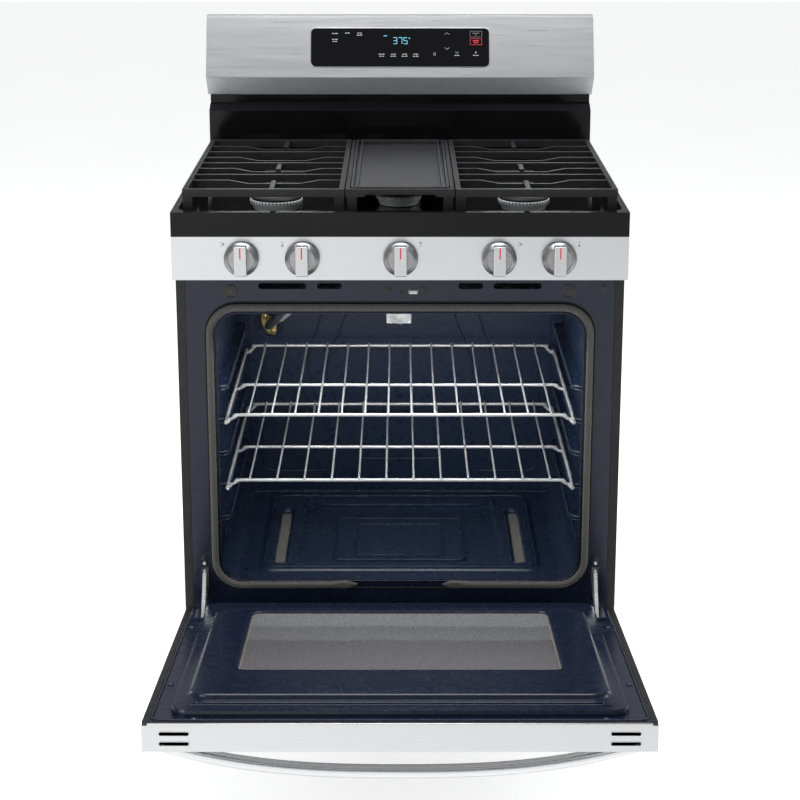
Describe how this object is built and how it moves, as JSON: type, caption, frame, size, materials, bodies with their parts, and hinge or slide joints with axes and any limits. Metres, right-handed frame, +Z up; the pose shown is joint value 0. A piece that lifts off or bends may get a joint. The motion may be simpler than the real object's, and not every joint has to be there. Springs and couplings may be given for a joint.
{
  "type": "freestanding gas range",
  "caption": "Floor-standing gas cooker with an open drop-down oven door, cast grates, griddle, knob panel, backguard display, wire racks and storage drawer.",
  "frame": {"origin": "On the floor, at the centre of the overall box measured with the oven door open", "axes": "+Z up; the front faces -Y; +X to the right seen from the front"},
  "size_m": [0.762, 1.3134, 1.172],
  "materials": {
    "cast_iron_enamelled": "matt black enamelled cast iron",
    "burner_alloy": "cast and satin",
    "brass_fittings": "dull brass",
    "stainless": "brushed along X",
    "black_enamel": "gloss black porcelain enamel",
    "navy_enamel": "gloss dark blue porcelain enamel with fine pale speckle",
    "black_paint": "satin black paint",
    "galvanised": "zinc coated sheet",
    "chrome_wire": "bright plated wire",
    "woven_seal": "woven glass fibre braid",
    "black_glass": "opaque black glass",
    "oven_glass": "dark tinted oven glass",
    "foot_plastic": "black moulded foot"
  },
  "bodies": {
    "casing": {"left_side_panel": "black_paint", "right_side_panel": "black_paint", "back_panel": "galvanised", "base_frame": "galvanised", "levelling_foot_front_left": "foot_plastic", "levelling_foot_front_right": "foot_plastic", "levelling_foot_rear_left": "foot_plastic", "levelling_foot_rear_right": "foot_plastic", "cooktop": "black_enamel", "control_panel": "stainless", "backguard_fascia": "stainless", "backsplash": "black_enamel", "backguard_rear_cover": "galvanised", "display_glass": "black_glass", "oven_cavity": "navy_enamel", "oven_back_wall": "navy_enamel", "front_frame": "navy_enamel", "door_gasket": "woven_seal", "oven_floor_panel": "navy_enamel", "gas_manifold": "burner_alloy", "bake_burner": "burner_alloy", "broil_burner": "burner_alloy", "broil_burner_flange": "brass_fittings", "temperature_sensor": "chrome_wire", "door_latch": "galvanised", "burner_head_left_front": "burner_alloy", "burner_cap_left_front": "cast_iron_enamelled", "burner_head_left_rear": "burner_alloy", "burner_cap_left_rear": "cast_iron_enamelled", "burner_head_centre": "burner_alloy", "burner_cap_centre": "cast_iron_enamelled", "burner_head_right_rear": "burner_alloy", "burner_cap_right_rear": "cast_iron_enamelled", "burner_head_right_front": "burner_alloy", "burner_cap_right_front": "cast_iron_enamelled", "hinge_arm_left": "chrome_wire", "hinge_arm_right": "chrome_wire"},
    "door": {"door_shell": "stainless", "door_outer_glass": "black_glass", "door_inner_panel": "navy_enamel", "door_inner_glass": "oven_glass", "door_handle": "stainless"},
    "upper_rack": {"rack_upper": "chrome_wire"},
    "lower_rack": {"rack_lower": "chrome_wire"},
    "drawer": {"drawer_front": "stainless", "drawer_box": "galvanised"},
    "left_grate": {"grate_left": "cast_iron_enamelled"},
    "right_grate": {"grate_right": "cast_iron_enamelled"},
    "centre_grate": {"grate_centre": "cast_iron_enamelled"},
    "griddle_plate": {"griddle": "cast_iron_enamelled"},
    "stem_1": {"valve_stem_1": "brass_fittings"},
    "knob_body_1": {"knob_1": "stainless"},
    "stem_2": {"valve_stem_2": "brass_fittings"},
    "knob_body_2": {"knob_2": "stainless"},
    "stem_3": {"valve_stem_3": "brass_fittings"},
    "knob_body_3": {"knob_3": "stainless"},
    "stem_4": {"valve_stem_4": "brass_fittings"},
    "knob_body_4": {"knob_4": "stainless"},
    "stem_5": {"valve_stem_5": "brass_fittings"},
    "knob_body_5": {"knob_5": "stainless"}
  },
  "joints": [
    {"name": "door_hinge", "type": "hinge", "parent": "casing", "child": "door", "pos_m": [0, -0.06125, 0.184], "axis": [-1, 0, 0], "range_deg": [0, 83]},
    {"name": "upper_rack_slide", "type": "slide", "parent": "casing", "child": "upper_rack", "axis": [0, 1, 0], "range_m": [-0.35, 0]},
    {"name": "lower_rack_slide", "type": "slide", "parent": "casing", "child": "lower_rack", "axis": [0, 1, 0], "range_m": [-0.35, 0]},
    {"name": "drawer_slide", "type": "slide", "parent": "casing", "child": "drawer", "axis": [0, -1, 0], "range_m": [0, 0.36]},
    {"name": "left_grate_lift", "type": "slide", "parent": "casing", "child": "left_grate", "axis": [0, 0, 1], "range_m": [0, 0.12]},
    {"name": "right_grate_lift", "type": "slide", "parent": "casing", "child": "right_grate", "axis": [0, 0, 1], "range_m": [0, 0.12]},
    {"name": "centre_grate_lift", "type": "slide", "parent": "casing", "child": "centre_grate", "axis": [0, 0, 1], "range_m": [0, 0.12]},
    {"name": "griddle_lift", "type": "slide", "parent": "centre_grate", "child": "griddle_plate", "axis": [0, 0, 1], "range_m": [0, 0.08]},
    {"name": "knob_1_push", "type": "slide", "parent": "casing", "child": "stem_1", "axis": [0, 1, 0], "range_m": [0, 0.0035], "stiffness_N_per_m": 900},
    {"name": "knob_1_turn", "type": "hinge", "parent": "stem_1", "child": "knob_body_1", "pos_m": [-0.264, -0.07125, 0.8385], "axis": [0, -1, 0], "range_deg": [0, 240]},
    {"name": "knob_2_push", "type": "slide", "parent": "casing", "child": "stem_2", "axis": [0, 1, 0], "range_m": [0, 0.0035], "stiffness_N_per_m": 900},
    {"name": "knob_2_turn", "type": "hinge", "parent": "stem_2", "child": "knob_body_2", "pos_m": [-0.1625, -0.07125, 0.8385], "axis": [0, -1, 0], "range_deg": [0, 240]},
    {"name": "knob_3_push", "type": "slide", "parent": "casing", "child": "stem_3", "axis": [0, 1, 0], "range_m": [0, 0.0035], "stiffness_N_per_m": 900},
    {"name": "knob_3_turn", "type": "hinge", "parent": "stem_3", "child": "knob_body_3", "pos_m": [0.001, -0.07125, 0.8385], "axis": [0, -1, 0], "range_deg": [0, 240]},
    {"name": "knob_4_push", "type": "slide", "parent": "casing", "child": "stem_4", "axis": [0, 1, 0], "range_m": [0, 0.0035], "stiffness_N_per_m": 900},
    {"name": "knob_4_turn", "type": "hinge", "parent": "stem_4", "child": "knob_body_4", "pos_m": [0.165, -0.07125, 0.8385], "axis": [0, -1, 0], "range_deg": [0, 240]},
    {"name": "knob_5_push", "type": "slide", "parent": "casing", "child": "stem_5", "axis": [0, 1, 0], "range_m": [0, 0.0035], "stiffness_N_per_m": 900},
    {"name": "knob_5_turn", "type": "hinge", "parent": "stem_5", "child": "knob_body_5", "pos_m": [0.265, -0.07125, 0.8385], "axis": [0, -1, 0], "range_deg": [0, 240]}
  ]
}
